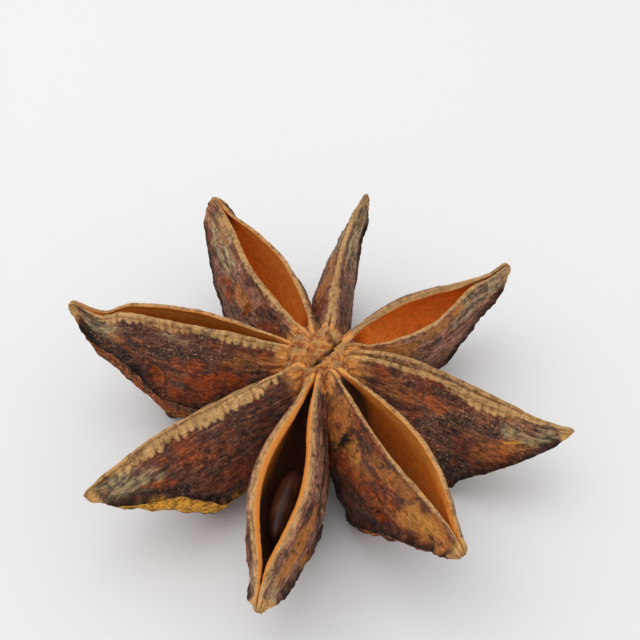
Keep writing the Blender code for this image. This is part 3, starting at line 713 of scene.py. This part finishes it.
    def dressed(self):
        """The lifted points, held above the ground, and the colour attributes of the mesh.

        The lips also ride on waves of noise along them, which fade as a bell to both sides.
        """
        points = self.points + grid_normals(self.points) * self.relief()[..., None]
        wave = 0.10 * noise(self.beat, 1.3, 71 + self.seed, 2) + 0.03 * noise(self.beat, 0.4, 73 + self.seed)
        points[..., 2] += wave * bell(self.off_lip, 0.6) * smooth(self.along, 0.05, 0.15)
        points[..., 2] = np.maximum(points[..., 2], 0.0)
        colours = {label: self.attribute(names) for label, names in PAINTED.items()}
        colours["grain"] = self.attribute(("run", "off_lip", "lane"))
        return points, colours


# ---------------------------------------------------------------- column and seed

def column_grid():
    """Grid of the column, from the top's middle round to the stalk scar, and its colour attribute.

    An outline is turned round the axis. Its top slopes evenly, is lifted by bells,
    noise and spokes, which are a sine round it, and is cut by a cleft, a bell
    across a wandering line. All this fades out below the top.
    """
    steps, sides = COLUMN_STEPS
    s = np.linspace(0.0, 1.0, steps)[:, None]
    angle = np.linspace(0.0, 2.0 * np.pi, sides, endpoint=False)[None, :]
    top = smooth(0.66 - s, 0.0, 0.12)
    radius = np.interp(s, *COLUMN_RADII) + 0.0 * angle
    height = np.interp(s, *COLUMN_HEIGHTS) + 0.0 * angle
    points = np.stack([radius * np.cos(angle), radius * np.sin(angle), height], axis=-1)
    x, y = points[..., 0], points[..., 1]

    (x0, y0), (x1, y1) = CLEFT
    dx, dy = x1 - x0, y1 - y0
    reach = np.clip(((x - x0) * dx + (y - y0) * dy) / (dx ** 2 + dy ** 2), 0.0, 1.0)
    away = np.hypot(x - x0 - reach * dx, y - y0 - reach * dy) + 0.22 * noise(points, 0.9, 83, 2)
    cleft = bell(away, CLEFT_WIDTH)
    crumbs = noise(points, 0.8, 87, 3)
    fine = noise(points, 0.26, 88, 2)
    spokes = np.sin(13.0 * angle + 2.5 * noise(points, 1.4, 91, 2)) * smooth(radius, 1.0, 1.8)
    # Painted shade where the top sinks: in the cleft, the dents and between the spokes.
    dents = smooth(-crumbs - 0.5 * fine, 0.35, 0.7) + smooth(-spokes, 0.7, 1.0) * smooth(-fine, -0.4, 0.4)
    pits = np.clip(0.85 * cleft + 0.45 * dents, 0.0, 1.0) * top
    flat_x, flat_y, flat_spread = FLAT_SPOT
    flat = bell(np.hypot(x - flat_x, y - flat_y), flat_spread) * top

    lift = 0.13 * crumbs + 0.14 * fine + 0.14 * spokes - CLEFT_DEPTH * cleft + COLUMN_TILT * (y - 0.6 * x)
    for knob_x, knob_y, spread, high in KNOBS:
        lift = lift + high * bell(np.hypot(x - knob_x, y - knob_y), spread)
    points[..., 2] += lift * top
    shade = 0.6 * smooth(noise(points, 0.5, 89, 2), 0.3, 0.6)
    return points, {"knots": np.stack([pits, flat, shade, 0.0 * pits], axis=-1)}


def seed_grid(shape, follicle):
    """Grid of the seed: an ellipsoid, 12 % slimmer at its outer end and 12 % thicker at its inner one.

    It lies along the middle of its follicle, turned with the keel and the suture.
    """
    u = np.array([shape.along])
    top, bottom = suture(follicle, u)[0], keel(follicle, u)[0]
    centre = bottom * (1.0 - shape.level) + top * shape.level
    behind, ahead = (suture(follicle, u + step)[0] + keel(follicle, u + step)[0] for step in (-0.02, 0.02))
    forward = (ahead - behind) / np.linalg.norm(ahead - behind)
    sideways = np.cross(top - bottom, forward)
    sideways = sideways / np.linalg.norm(sideways)
    upward = np.cross(forward, sideways)
    polar = np.linspace(0.02, np.pi - 0.02, 90)[:, None]
    around = np.linspace(0.0, 2.0 * np.pi, 120, endpoint=False)[None, :]
    girth = np.sin(polar) * (1.0 - 0.12 * np.cos(polar))
    length = 0.5 * shape.length / MM * np.cos(polar) + 0.0 * around
    height = 0.5 * shape.height / MM * girth * np.cos(around)
    thick = 0.5 * shape.thickness / MM * girth * np.sin(around)
    return centre + length[..., None] * forward + height[..., None] * upward + thick[..., None] * sideways


# ---------------------------------------------------------------- meshes

def closed_grid(name, points, colours=None):
    """A closed mesh from rings of points in millimetres, with a fan on the first and last ring.

    Rings that wind inwards, so that their normals point at the middle on the
    whole, are turned round. colours are named arrays of four numbers a point,
    kept as attributes. The UV map unrolls the grid, with the fans in strips at its ends.
    """
    colours = colours or {}
    middle = points.mean(axis=(0, 1))
    out = np.einsum("ijk,ijk->ij", grid_normals(points), points - middle)
    if out.mean() < 0.0:
        points = points[:, ::-1]
        colours = {label: values[:, ::-1] for label, values in colours.items()}
    rows, count = points.shape[:2]
    ends = np.stack([points[0].mean(axis=0), points[-1].mean(axis=0)])
    verts = (np.concatenate([points.reshape(-1, 3), ends]) - POD_MIDDLE) * MM

    row, col = (grid.ravel() for grid in np.meshgrid(np.arange(rows - 1), np.arange(count), indexing="ij"))
    here, beside = row * count + col, row * count + (col + 1) % count
    quads = np.stack([here, beside, beside + count, here + count], axis=1)
    first = np.arange(count)
    second = (first + 1) % count
    last = (rows - 1) * count
    base = np.stack([np.full(count, rows * count), second, first], axis=1)
    tip = np.stack([np.full(count, rows * count + 1), last + first, last + second], axis=1)

    mesh = bpy.data.meshes.new(name)
    loops = np.concatenate([quads.ravel(), base.ravel(), tip.ravel()])
    starts = np.concatenate([np.arange(len(quads)) * 4, len(quads) * 4 + np.arange(2 * count) * 3])
    mesh.vertices.add(len(verts))
    mesh.vertices.foreach_set("co", verts.ravel())
    mesh.loops.add(len(loops))
    mesh.loops.foreach_set("vertex_index", loops)
    mesh.polygons.add(len(starts))
    mesh.polygons.foreach_set("loop_start", starts)
    mesh.update(calc_edges=True)

    across = np.arange(count + 1) / count
    up = 0.02 + 0.96 * np.arange(rows) / (rows - 1)
    fan_middle = 0.5 * (across[first] + across[first + 1])
    even = np.zeros(count)
    quad_uv = [(across[col + i], up[row + j]) for i, j in ((0, 0), (1, 0), (1, 1), (0, 1))]
    base_uv = [(fan_middle, even)] + [(across[first + i], up[0] + even) for i in (1, 0)]
    tip_uv = [(fan_middle, 1.0 + even)] + [(across[first + i], up[-1] + even) for i in (0, 1)]
    corners = [np.stack([np.stack(corner, axis=1) for corner in face], axis=1).reshape(-1, 2)
               for face in (quad_uv, base_uv, tip_uv)]
    mesh.uv_layers.new(name="OFBake").uv.foreach_set("vector", np.concatenate(corners).ravel())

    for label, values in colours.items():
        flat = values.reshape(-1, 4)
        flat = np.concatenate([flat, flat[:count].mean(axis=0)[None], flat[-count:].mean(axis=0)[None]])
        mesh.attributes.new(label, "FLOAT_COLOR", "POINT").data.foreach_set("color", flat.ravel())
    mesh.shade_smooth()
    mesh.validate()
    return mesh


def place_piece(name, mesh, material, node):
    """Puts a finished mesh in the scene, riding on the pod's one body."""
    obj = bpy.data.objects.new(name, mesh)
    obj.data.materials.append(material)
    bpy.context.scene.collection.objects.link(obj)
    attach(obj, "root")
    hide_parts(node)


# ---------------------------------------------------------------- materials

def add(tree, kind, settings=None, links=None, **fields):
    """Adds a node with its fields, its sockets' values and its links."""
    node = tree.nodes.new(kind)
    for field, value in fields.items():
        setattr(node, field, value)
    for socket, value in (settings or {}).items():
        node.inputs[socket].default_value = value
    for socket, source in (links or {}).items():
        tree.links.new(source, node.inputs[socket])
    return node


def per(size_mm):
    """Scale that makes a pattern's cell this many millimetres."""
    return 1.0 / (size_mm * MM)


def rgba(colour):
    """A colour with full alpha."""
    return (colour[0], colour[1], colour[2], 1.0)


def blank_material(name, roughness, ior, specular):
    """A material with a Principled shader that has only its roughness, IOR and specular level set."""
    material = bpy.data.materials.new(name)
    material.use_nodes = True
    tree = material.node_tree
    shader = tree.nodes["Principled BSDF"]
    shader.inputs["Roughness"].default_value = roughness
    shader.inputs["IOR"].default_value = ior
    shader.inputs["Specular IOR Level"].default_value = specular
    return material, tree, shader


def painted_fields(tree, painted):
    """Sockets of the fields that a mesh's colour attributes carry, by name."""
    sockets = {}
    for label, names in painted.items():
        source = add(tree, "ShaderNodeAttribute", attribute_name=label)
        parts = add(tree, "ShaderNodeSeparateColor", links={0: source.outputs["Color"]}).outputs
        sockets.update(zip(names, (parts[0], parts[1], parts[2], source.outputs["Alpha"])))
    return sockets


def coated(tree, colour, sockets, coats):
    """A colour under coats of others.

    A coat is its colour, the name of its mask or None and, where a pattern breaks
    it up, the pattern's name, its values where it starts and ends, and the coat's
    shares there. Between them the share runs evenly, and it is multiplied by the mask.
    """
    for paint, mask, *spread in coats:
        share = sockets.get(mask)
        if spread:
            pattern, start, end, least, most = spread
            settings = {1: start, 2: end, 3: least, 4: most}
            cover = add(tree, "ShaderNodeMapRange", settings, {0: sockets[pattern]}).outputs[0]
            if share is None:
                share = cover
            else:
                masked = add(tree, "ShaderNodeMath", {}, {0: share, 1: cover}, operation="MULTIPLY")
                share = masked.outputs[0]
        settings, links = {}, {0: share}
        for socket, value in ((6, colour), (7, paint)):
            if isinstance(value, bpy.types.NodeSocket):
                links[socket] = value
            else:
                settings[socket] = rgba(value)
        colour = add(tree, "ShaderNodeMix", settings, links, data_type="RGBA").outputs[2]
    return colour


def husk_material(look):
    """Dried woody pericarp: matt, mottled red-brown bark outside, satin amber inside.

    The bark is rough from drying, so it scatters light and shows fine pale
    specks. The inner wall was smooth flesh against the seed and keeps a soft shine.
    """
    material, tree, shader = blank_material("dried_husk", 0.70, 1.45, 0.22)
    place = add(tree, "ShaderNodeTexCoord").outputs["Object"]
    sockets = painted_fields(tree, PAINTED)

    # Clouds by their size in millimetres, detail and roughness. The flecks and the pale specks are
    # coarser than pores, about the finest that shows. The streaks follow the grain, by length and width.
    for name, size_mm, detail, roughness in (
            ("broad", 2.4, 4.0, 0.6), ("rusty", 1.3, 5.0, 0.65), ("middling", 0.8, 5.0, 0.65),
            ("flecks", 0.34, 4.0, 0.7), ("specks", 0.13, 2.0, 0.6)):
        settings = {"Scale": per(size_mm), "Detail": detail, "Roughness": roughness}
        sockets[name] = add(tree, "ShaderNodeTexNoise", settings, {"Vector": place}).outputs[0]
    grain = add(tree, "ShaderNodeAttribute", attribute_name="grain").outputs["Vector"]
    for name, length_mm, width_mm in (("long", 3.0, 0.40), ("short", 0.9, 0.16)):
        scale = (1.0 / length_mm, 1.0 / width_mm, 1.0)
        laid = add(tree, "ShaderNodeMapping", {"Scale": scale}, {"Vector": grain}).outputs[0]
        settings = {"Scale": 1.0, "Detail": 4.0, "Roughness": 0.6, "Distortion": 0.6}
        sockets[name] = add(tree, "ShaderNodeTexNoise", settings, {"Vector": laid}).outputs[0]

    wood = coated(tree, look.beige_dark, sockets, ((look.beige, None, "flecks", 0.38, 0.50, 0.0, 1.0),))
    rim = coated(tree, wood, sockets, (
        (look.edge, None, "middling", 0.40, 0.52, 0.0, 1.0),
        (look.husk_purple, None, "short", 0.56, 0.40, 0.0, 0.8)))
    # Inner wall: light amber at the lip, amber, then painted shade darkening to brown at the bottom of the
    # hollow.
    wall = add(tree, "ShaderNodeValToRGB", links={0: sockets["depth"]})
    stops = wall.color_ramp.elements
    stops[0].color, stops[1].color = rgba(look.amber_light), rgba(look.amber_hollow_shade)
    for stop, amber in ((0.10, look.amber), (0.40, look.amber_deep)):
        stops.new(stop).color = rgba(amber)

    colour = coated(tree, look.husk_red, sockets, (
        # Purple clouds, the pale coat, then rusty and dark clouds and the long streaks.
        (look.husk_purple, None, "broad", 0.42, 0.58, 0.0, 1.0),
        (look.husk_purple, "purple"),
        (look.mauve, "pale", "long", 0.40, 0.56, 0.3, 1.0),
        (look.rust, None, "rusty", 0.54, 0.66, 0.0, 0.45),
        (look.husk_dark, None, "middling", 0.47, 0.37, 0.0, 0.7),
        (look.husk_dark, None, "long", 0.47, 0.36, 0.0, 0.5),
        (look.tan, None, "long", 0.55, 0.68, 0.0, 0.3),
        # Stains, broken up by clouds and streaks.
        (look.rust, "rust", "middling", 0.36, 0.52, 0.4, 1.0),
        (look.char, "char", "rusty", 0.60, 0.46, 0.3, 0.95),
        (look.dust, "dust", "long", 0.42, 0.56, 0.15, 0.9),
        # Short streaks, flecks, painted shade in the recesses and on the lower walls, the tan stains over
        # them, and the pale specks.
        (look.husk_dark, None, "short", 0.46, 0.34, 0.0, 0.45),
        (look.tan, None, "short", 0.58, 0.72, 0.0, 0.3),
        (look.husk_dark, None, "flecks", 0.44, 0.34, 0.0, 0.5),
        # Painted shade: the low field darkens the recesses and the lower walls.
        (look.husk_dark, None, "low", 0.0, 1.0, 0.0, 0.55),
        (look.tan, "tan", "middling", 0.36, 0.48, 0.1, 0.9),
        (look.speck, "specked", "specks", 0.55, 0.68, 0.0, 0.6),
        # Rough strip along the keel, and the painted shade of the crease above it.
        (look.husk_dark, "strip", "middling", 0.56, 0.42, 0.1, 0.9),
        (look.rust, "strip", "rusty", 0.46, 0.58, 0.0, 0.55),
        (look.ochre, "strip", "flecks", 0.50, 0.64, 0.0, 0.35),
        (look.ochre, "ochre", "flecks", 0.36, 0.50, 0.35, 1.0),
        (look.crease, "crease"),
        # Pale band, bare wood and painted shade in the tears and cracks, then the inner wall with its
        # painted shade down the hollow, and the lips' worn edge.
        (wood, "band", "middling", 0.34, 0.44, 0.5, 1.0),
        (look.knot, "hub", "long", 0.38, 0.50, 0.45, 0.95),
        (look.tip, "tip"),
        # Painted shade in the tears and cracks.
        (look.crease, "tear"),
        (wall.outputs[0], "amber"),
        (rim, "edge", "flecks", 0.34, 0.50, 0.5, 0.95)))

    # Pores and grain: the flecks and short streaks lighten and darken the bark, and roughen it all.
    links = {0: sockets["flecks"], 1: sockets["short"]}
    pores = add(tree, "ShaderNodeMath", {}, links, operation="ADD")
    speckle = add(tree, "ShaderNodeMapRange", {1: 0.80, 2: 1.20, 3: 0.6, 4: 1.5}, {0: pores.outputs[0]})
    shade = add(tree, "ShaderNodeMix", {3: 1.0}, {0: sockets["calm"], 2: speckle.outputs[0]})
    colour = add(tree, "ShaderNodeVectorMath", {}, {0: colour, 3: shade.outputs[0]}, operation="SCALE")
    tree.links.new(colour.outputs[0], shader.inputs["Base Color"])

    bark = add(tree, "ShaderNodeMapRange", {1: 0.3, 2: 0.7, 3: 0.6, 4: 0.8}, {0: sockets["middling"]})
    rough = add(tree, "ShaderNodeMix", {3: 0.45}, {0: sockets["amber"], 2: bark.outputs[0]})
    tree.links.new(rough.outputs[0], shader.inputs["Roughness"])

    links = {0: sockets["middling"], 1: pores.outputs[0]}
    height = add(tree, "ShaderNodeMath", {}, links, operation="ADD")
    strength = add(tree, "ShaderNodeMapRange", {1: 0.0, 2: 1.0, 3: 0.8, 4: 0.08}, {0: sockets["amber"]})
    links = {"Strength": strength.outputs[0], "Height": height.outputs[0]}
    bump = add(tree, "ShaderNodeBump", {"Distance": 0.35 * MM}, links)
    tree.links.new(bump.outputs[0], shader.inputs["Normal"])
    return material


def knot_material(look):
    """Knotted wood of the column: rough, dry tan fibre with painted shade in its pits and cleft, and a grey
    bloom.
    """
    material, tree, shader = blank_material("knotted_wood", 0.75, 1.45, 0.2)
    place = add(tree, "ShaderNodeTexCoord").outputs["Object"]
    sockets = painted_fields(tree, {"knots": ("pits", "flat", "shade")})
    for name, size_mm, detail, roughness in (("knots", 0.40, 6.0, 0.7), ("bloom", 1.1, 3.0, 0.5)):
        settings = {"Scale": per(size_mm), "Detail": detail, "Roughness": roughness}
        sockets[name] = add(tree, "ShaderNodeTexNoise", settings, {"Vector": place}).outputs[0]
    colour = coated(tree, look.knot, sockets, (
        (look.beige, None, "bloom", 0.46, 0.58, 0.0, 0.9),
        (look.rust, None, "knots", 0.57, 0.43, 0.0, 0.75),
        (look.husk_dark, None, "knots", 0.40, 0.33, 0.0, 0.8),
        (look.dust, None, "bloom", 0.42, 0.34, 0.0, 0.6),
        (look.beige, "flat", "knots", 0.45, 0.55, 0.3, 0.9),
        (look.husk_purple, "shade"),
        # Painted shade in the pits, the cleft and the dents.
        (look.crease, "pits")))
    tree.links.new(colour, shader.inputs["Base Color"])
    bump = add(tree, "ShaderNodeBump", {"Distance": 0.6 * MM, "Strength": 1.0}, {"Height": sockets["knots"]})
    tree.links.new(bump.outputs[0], shader.inputs["Normal"])
    return material


def seed_material(look):
    """Hard polished seed coat: dark brown and glossy, faintly clouded."""
    material, tree, shader = blank_material("polished_seed_coat", 0.38, 1.50, 0.22)
    place = add(tree, "ShaderNodeTexCoord").outputs["Object"]
    cloud = add(tree, "ShaderNodeTexNoise", {"Scale": per(1.4), "Detail": 3.0}, {"Vector": place})
    colour = coated(tree, look.seed_dark, {"cloud": cloud.outputs[0]}, (
        (look.seed_light, None, "cloud", 0.35, 0.65, 0.0, 1.0),))
    tree.links.new(colour, shader.inputs["Base Color"])
    return material


# ---------------------------------------------------------------- settings

def colour_property(name, code, description):
    """A colour setting with an sRGB hex default."""
    return bpy.props.FloatVectorProperty(
        name=name, description=description, default=linear(code), subtype="COLOR", size=3, min=0.0, max=1.0)


class HuskLook(bpy.types.PropertyGroup):
    """Colours of the pericarp and the seed."""
    husk_red: colour_property("Red husk", "#87442b", "Red-brown ground of the outer wall")
    husk_purple: colour_property("Purple husk", "#5f3d37", "Purple-brown clouds on the outer wall")
    husk_dark: colour_property("Dark husk", "#33221d", "Darkest mottling of the outer wall")
    mauve: colour_property("Mauve", "#b07e66", "Pale coat of the lighter follicles")
    rust: colour_property("Rust", "#ac4c1e", "Rust-red stains")
    tan: colour_property("Tan", "#cd8440", "Tan-orange patches")
    char: colour_property("Char", "#2c2624", "Grey-black stains")
    dust: colour_property("Dust", "#b8a47c", "Grey-beige bloom, mostly on the beaks")
    speck: colour_property("Speck", "#d0a878", "Fine pale specks")
    ochre: colour_property("Ochre", "#eaa83c", "Rough keel")
    # Painted shade: near black for the crease, the tears, the cracks and the column's pits.
    crease: colour_property("Crease", "#17100c", "Dark crease above the keel")
    beige: colour_property("Beige", "#e2b274", "Toothed band under the lips")
    beige_dark: colour_property("Dark beige", "#b48858", "Flecks in the band")
    edge: colour_property("Edge", "#cb9a60", "Worn edge of the lips")
    tip: colour_property("Tip", "#dba868", "Bare wood of the beak")
    knot: colour_property("Knot", "#fdae5e", "Column and the bases of the follicles")
    amber_light: colour_property("Light amber", "#d28234", "Inner wall next to the lip")
    amber: colour_property("Amber", "#f2a24a", "Inner wall")
    # Deep and dark amber are painted shade down the hollow.
    amber_deep: colour_property("Deep amber", "#da7a2a", "Inner wall half way down")
    amber_hollow_shade: colour_property("Dark amber", "#563826", "Bottom of the hollow")
    seed_dark: colour_property("Dark seed", "#27130c", "Seed coat")
    seed_light: colour_property("Light seed", "#4a2a1e", "Clouds in the seed coat")


class SeedShape(bpy.types.PropertyGroup):
    """Size and place of the seed."""
    length: bpy.props.FloatProperty(
        name="Length", description="Longest side of the seed", default=7.4 * MM, unit="LENGTH")
    height: bpy.props.FloatProperty(
        name="Height", description="Height of the seed as it stands", default=3.6 * MM, unit="LENGTH")
    thickness: bpy.props.FloatProperty(
        name="Thickness", description="Thickness of the seed", default=2.0 * MM, unit="LENGTH")
    along: bpy.props.FloatProperty(
        name="Along", description="Place along its follicle",
        default=0.56, subtype="FACTOR", min=0.0, max=1.0)
    level: bpy.props.FloatProperty(
        name="Level", description="Place between keel and lips",
        default=0.60, subtype="FACTOR", min=0.0, max=1.0)


class StudioLight(bpy.types.PropertyGroup):
    """The stage's light and floor."""
    key: bpy.props.FloatProperty(
        name="Key", description="Power of the key light", default=0.40, unit="POWER")
    sky: bpy.props.FloatProperty(name="Sky", description="Strength of the even light", default=0.87)
    paper: colour_property("Paper", "#e9e9e9", "Pale floor")


# ---------------------------------------------------------------- operators

class POD_OT_follicles(bpy.types.Operator):
    """Makes the eight follicles."""
    bl_idname = "pod.follicles"
    bl_label = "Make follicles"

    def execute(self, context):
        material = husk_material(context.scene.pod_look)
        for index, follicle in enumerate(FOLLICLES):
            points, colours = Surface(follicle, index).dressed()
            name = "follicle_" + follicle.name
            mesh = closed_grid(name, turned(points, follicle.azimuth), colours)
            place_piece(name, mesh, material, "pericarp")
        return {"FINISHED"}


class POD_OT_column(bpy.types.Operator):
    """Makes the knotted column."""
    bl_idname = "pod.column"
    bl_label = "Make column"

    def execute(self, context):
        mesh = closed_grid("column", *column_grid())
        place_piece("column", mesh, knot_material(context.scene.pod_look), "pericarp")
        return {"FINISHED"}


class POD_OT_seed(bpy.types.Operator):
    """Makes the seed in its follicle."""
    bl_idname = "pod.seed"
    bl_label = "Make seed"

    def execute(self, context):
        follicle = next(f for f in FOLLICLES if f.name == SEED_FOLLICLE)
        points = turned(seed_grid(context.scene.pod_seed, follicle), follicle.azimuth)
        mesh = closed_grid("seed", points)
        place_piece("seed", mesh, seed_material(context.scene.pod_look), "seed")
        return {"FINISHED"}


class POD_OT_stage(bpy.types.Operator):
    """Makes the floor, the lights and the camera."""
    bl_idname = "pod.stage"
    bl_label = "Make stage"

    def execute(self, context):
        studio = context.scene.pod_studio
        mesh = bpy.data.meshes.new("floor")
        half = FLOOR_HALF
        corners = [(-half, -half, 0), (half, -half, 0), (half, half, 0), (-half, half, 0)]
        mesh.from_pydata(corners, [], [(0, 1, 2, 3)])
        floor = bpy.data.objects.new("floor", mesh)
        material, _, shader = blank_material("white_paper", 0.9, 1.45, 0.2)
        shader.inputs["Base Color"].default_value = rgba(studio.paper)
        floor.data.materials.append(material)
        context.scene.collection.objects.link(floor)

        world = bpy.data.worlds.new("even_light")
        world.use_nodes = True
        background = world.node_tree.nodes["Background"]
        background.inputs["Color"].default_value = (1.0, 1.0, 1.0, 1.0)
        background.inputs["Strength"].default_value = studio.sky
        context.scene.world = world

        key = bpy.data.lights.new("key", "AREA")
        key.energy = studio.key
        key.size = LAMP_SIZE
        lamp = bpy.data.objects.new("key", key)
        lamp.location = LAMP_PLACE
        lamp.rotation_euler = (-lamp.location).to_track_quat("-Z", "Y").to_euler()
        context.scene.collection.objects.link(lamp)

        camera = bpy.data.cameras.new("camera")
        camera.lens = EYE_LENS
        camera.sensor_width = 36.0
        camera.clip_start = 0.002
        camera.clip_end = 10.0
        eye = bpy.data.objects.new("camera", camera)
        elevation = np.radians(EYE_ELEVATION)
        back = np.array([0.0, -np.cos(elevation), np.sin(elevation)])
        eye.location = (np.array(AIM) - POD_MIDDLE) * MM + EYE_DISTANCE * back
        eye.rotation_euler = (np.pi / 2 - elevation, 0.0, 0.0)
        context.scene.collection.objects.link(eye)
        context.scene.camera = eye
        context.scene.view_settings.view_transform = "Standard"
        return {"FINISHED"}


class POD_PT_panel(bpy.types.Panel):
    """Lists the pod's operators and settings."""
    bl_idname = "POD_PT_panel"
    bl_label = "Star anise pod"
    bl_space_type = "VIEW_3D"
    bl_region_type = "UI"
    bl_category = "Star anise"

    def draw(self, context):
        for operator in OPERATORS:
            self.layout.operator(operator.bl_idname)
        for group, settings in SETTINGS.items():
            owner = getattr(context.scene, group)
            box = self.layout.box()
            for field in settings.__annotations__:
                box.prop(owner, field)


OPERATORS = (POD_OT_follicles, POD_OT_column, POD_OT_seed, POD_OT_stage)
SETTINGS = {"pod_look": HuskLook, "pod_seed": SeedShape, "pod_studio": StudioLight}
CLASSES = tuple(SETTINGS.values()) + OPERATORS + (POD_PT_panel,)
POD_MIDDLE = pod_middle()


def register():
    for cls in CLASSES:
        bpy.utils.register_class(cls)
    for group, settings in SETTINGS.items():
        setattr(bpy.types.Scene, group, bpy.props.PointerProperty(type=settings))


def unregister():
    for group in SETTINGS:
        delattr(bpy.types.Scene, group)
    for cls in reversed(CLASSES):
        bpy.utils.unregister_class(cls)


def main():
    register()
    bpy.ops.pod.follicles()
    bpy.ops.pod.column()
    bpy.ops.pod.seed()
    bpy.ops.pod.stage()


if __name__ == "__main__":
    main()
